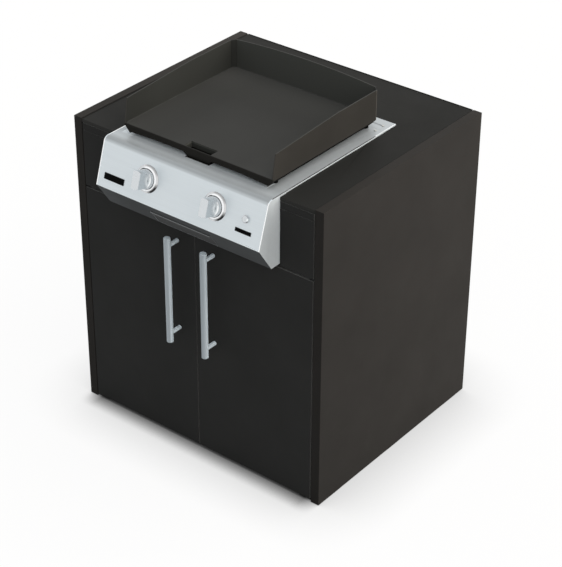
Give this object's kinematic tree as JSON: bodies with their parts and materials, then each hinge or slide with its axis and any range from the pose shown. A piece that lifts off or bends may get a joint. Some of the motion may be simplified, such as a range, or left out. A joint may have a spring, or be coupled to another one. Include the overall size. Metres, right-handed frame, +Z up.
{
  "type": "outdoor gas griddle station",
  "caption": "Freestanding charcoal sheet-metal cabinet with hinged doors and bar handles under a drop-in gas griddle with a sloped steel control panel and a walled plate.",
  "frame": {"origin": "on the floor under the middle of the cabinet, at the centre foot", "axes": "+Z up, -Y towards the user (the doors' side), +X to the user's right"},
  "size_m": [0.832, 0.805, 1.024],
  "materials": {
    "cabinet_paint": "charcoal satin powder coat",
    "frame_paint": "black powder coat",
    "handle_steel": "satin stainless",
    "head_steel": "satin stainless",
    "plate_steel": "black heat-proof finish",
    "knob_metal": "satin chrome",
    "bezel_metal": "satin chrome",
    "button_metal": "bright chrome",
    "badge_black": "black anodised",
    "screw_steel": "plain steel",
    "firebox_steel": "aluminised steel",
    "burner_steel": "heat-stained stainless",
    "drawer_steel": "satin stainless",
    "gas_brass": "machined",
    "manifold_paint": "black paint",
    "electrode_ceramic": "white glazed",
    "glide_plastic": "black nylon",
    "catch_plastic": "black plastic",
    "grommet_rubber": "black rubber"
  },
  "bodies": {
    "cabinet": {"glides": "glide_plastic", "floor_panel": "cabinet_paint", "back_panel": "cabinet_paint", "hose_grommet": "grommet_rubber", "top_rail_back": "frame_paint", "cross_rail": "frame_paint", "countertop": "cabinet_paint", "door_catches": "catch_plastic", "head_shell": "head_steel", "frame_rear": "head_steel", "frame_screws": "screw_steel", "firebox": "firebox_steel", "burner_support": "firebox_steel", "manifold": "manifold_paint", "gas_inlet": "gas_brass", "igniter_body": "button_metal", "electrodes": "electrode_ceramic", "grease_duct": "firebox_steel", "drawer_runner": "firebox_steel", "side_panel_left": "cabinet_paint", "side_panel_right": "cabinet_paint", "side_liner_left": "cabinet_paint", "side_liner_right": "cabinet_paint", "front_post_left": "frame_paint", "front_post_right": "frame_paint", "top_rail_left": "frame_paint", "top_rail_right": "frame_paint", "filler_left": "cabinet_paint", "filler_right": "cabinet_paint", "rail_strip_left": "cabinet_paint", "rail_strip_right": "cabinet_paint", "pivots_left": "screw_steel", "pivots_right": "screw_steel", "burner_left": "burner_steel", "burner_right": "burner_steel", "bezel_left": "bezel_metal", "bezel_right": "bezel_metal", "valve_left": "gas_brass", "valve_right": "gas_brass", "badge_left": "badge_black", "badge_right": "badge_black"},
    "griddle_plate": {"griddle_plate": "plate_steel"},
    "grease_drawer": {"grease_drawer": "drawer_steel"},
    "igniter_button": {"igniter_button": "button_metal"},
    "door_left": {"door_skin_left": "cabinet_paint", "door_liner_left": "cabinet_paint", "bushes_left": "glide_plastic", "handle_left": "handle_steel", "handle_screws_left": "screw_steel"},
    "knob_left_push": {"collar_left": "gas_brass"},
    "knob_left_turn": {"knob_left": "knob_metal", "stem_left": "screw_steel"},
    "door_right": {"door_skin_right": "cabinet_paint", "door_liner_right": "cabinet_paint", "bushes_right": "glide_plastic", "handle_right": "handle_steel", "handle_screws_right": "screw_steel"},
    "knob_right_push": {"collar_right": "gas_brass"},
    "knob_right_turn": {"knob_right": "knob_metal", "stem_right": "screw_steel"}
  },
  "joints": [
    {"name": "door_left_hinge", "type": "hinge", "parent": "cabinet", "child": "door_left", "pos_m": [-0.3785, -0.3398, 0.35], "axis": [0, 0, -1], "range_deg": [0, 105]},
    {"name": "door_right_hinge", "type": "hinge", "parent": "cabinet", "child": "door_right", "pos_m": [0.3785, -0.3398, 0.35], "axis": [0, 0, 1], "range_deg": [0, 105]},
    {"name": "knob_left_push", "type": "slide", "parent": "cabinet", "child": "knob_left_push", "axis": [0, 0.9519, -0.3065], "range_m": [0, 0.003], "stiffness_N_per_m": 2500, "springref_m": -0.001},
    {"name": "knob_left_turn", "type": "hinge", "parent": "knob_left_push", "child": "knob_left_turn", "pos_m": [-0.104, -0.40546, 0.84078], "axis": [0, -0.9519, 0.3065], "range_deg": [0, 130]},
    {"name": "knob_right_push", "type": "slide", "parent": "cabinet", "child": "knob_right_push", "axis": [0, 0.9519, -0.3065], "range_m": [0, 0.003], "stiffness_N_per_m": 2500, "springref_m": -0.001},
    {"name": "knob_right_turn", "type": "hinge", "parent": "knob_right_push", "child": "knob_right_turn", "pos_m": [0.121, -0.40546, 0.84078], "axis": [0, -0.9519, 0.3065], "range_deg": [0, 130]},
    {"name": "igniter_press", "type": "slide", "parent": "cabinet", "child": "igniter_button", "axis": [0, 0.9519, -0.3065], "range_m": [0, 0.004], "stiffness_N_per_m": 1000, "springref_m": -0.001},
    {"name": "grease_drawer_slide", "type": "slide", "parent": "cabinet", "child": "grease_drawer", "axis": [0, -1, 0], "range_m": [0, 0.16]},
    {"name": "griddle_plate_lift", "type": "slide", "parent": "cabinet", "child": "griddle_plate", "axis": [0, 0, 1], "range_m": [0, 0.15]}
  ]
}
